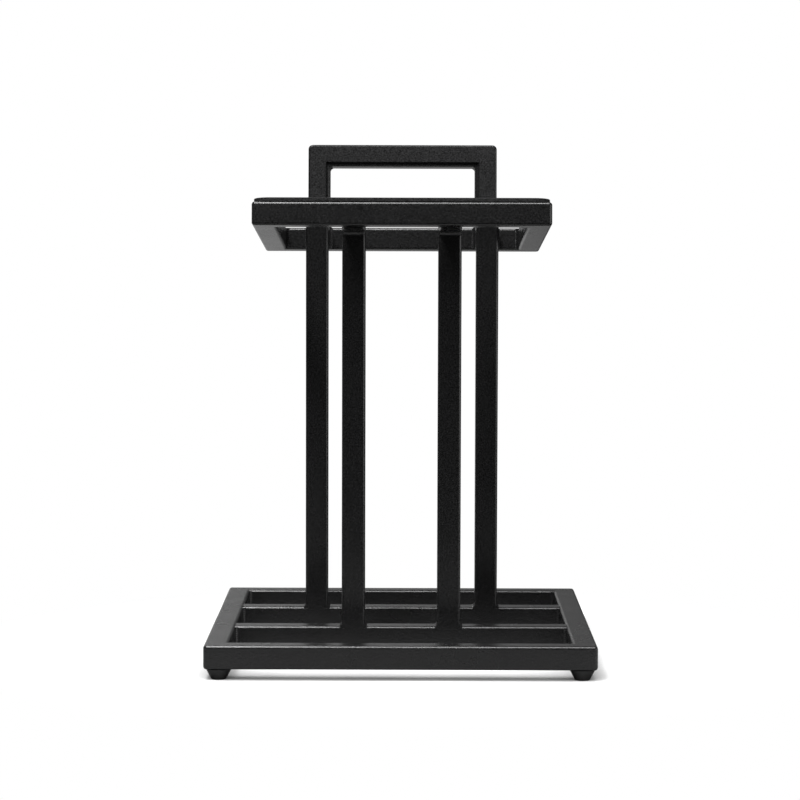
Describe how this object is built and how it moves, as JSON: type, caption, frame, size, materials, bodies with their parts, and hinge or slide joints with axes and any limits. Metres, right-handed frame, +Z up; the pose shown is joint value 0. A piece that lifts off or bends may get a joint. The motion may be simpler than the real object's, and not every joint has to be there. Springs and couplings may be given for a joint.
{
  "type": "speaker stand",
  "caption": "Low square-tube loudspeaker stand with a rectangular base, uprights, a rear-tilted padded platform, a padded backstop loop and levelling feet.",
  "frame": {"origin": "on the floor under the middle of the base, with every foot screwed right in", "axes": "+Z up, -Y towards the listener (the open front of the platform), +X to the right seen from the front"},
  "size_m": [0.325, 0.368, 0.4448],
  "materials": {
    "powder_coat": "fine-grained black powder coat, satin",
    "pad_rubber": "matt black foam rubber with a coarse grain",
    "foot_rubber": "moulded black rubber, matt",
    "zinc_plate": "bright zinc plate"
  },
  "bodies": {
    "frame": {"base_front_rail": "powder_coat", "base_rear_rail": "powder_coat", "base_left_rail": "powder_coat", "base_right_rail": "powder_coat", "base_front_crossbar": "powder_coat", "base_rear_crossbar": "powder_coat", "front_left_upright": "powder_coat", "front_right_upright": "powder_coat", "rear_left_upright": "powder_coat", "rear_right_upright": "powder_coat", "front_left_stub": "powder_coat", "front_right_stub": "powder_coat", "rear_left_stub": "powder_coat", "rear_right_stub": "powder_coat", "platform_front_rail": "powder_coat", "platform_rear_rail": "powder_coat", "platform_left_rail": "powder_coat", "platform_right_rail": "powder_coat", "backstop_left_post": "powder_coat", "backstop_right_post": "powder_coat", "backstop_top_bar": "powder_coat", "platform_pad": "pad_rubber", "backstop_pad": "pad_rubber", "foot_nut_front_left": "zinc_plate", "foot_nut_front_right": "zinc_plate", "foot_nut_rear_left": "zinc_plate", "foot_nut_rear_right": "zinc_plate"},
    "front_left_foot": {"foot_front_left": "foot_rubber", "foot_stud_front_left": "zinc_plate"},
    "front_right_foot": {"foot_front_right": "foot_rubber", "foot_stud_front_right": "zinc_plate"},
    "rear_left_foot": {"foot_rear_left": "foot_rubber", "foot_stud_rear_left": "zinc_plate"},
    "rear_right_foot": {"foot_rear_right": "foot_rubber", "foot_stud_rear_right": "zinc_plate"}
  },
  "joints": [
    {"name": "front_left_foot_screw", "type": "slide", "parent": "frame", "child": "front_left_foot", "axis": [0, 0, -1], "range_m": [0, 0.008]},
    {"name": "front_right_foot_screw", "type": "slide", "parent": "frame", "child": "front_right_foot", "axis": [0, 0, -1], "range_m": [0, 0.008]},
    {"name": "rear_left_foot_screw", "type": "slide", "parent": "frame", "child": "rear_left_foot", "axis": [0, 0, -1], "range_m": [0, 0.008]},
    {"name": "rear_right_foot_screw", "type": "slide", "parent": "frame", "child": "rear_right_foot", "axis": [0, 0, -1], "range_m": [0, 0.008]}
  ]
}
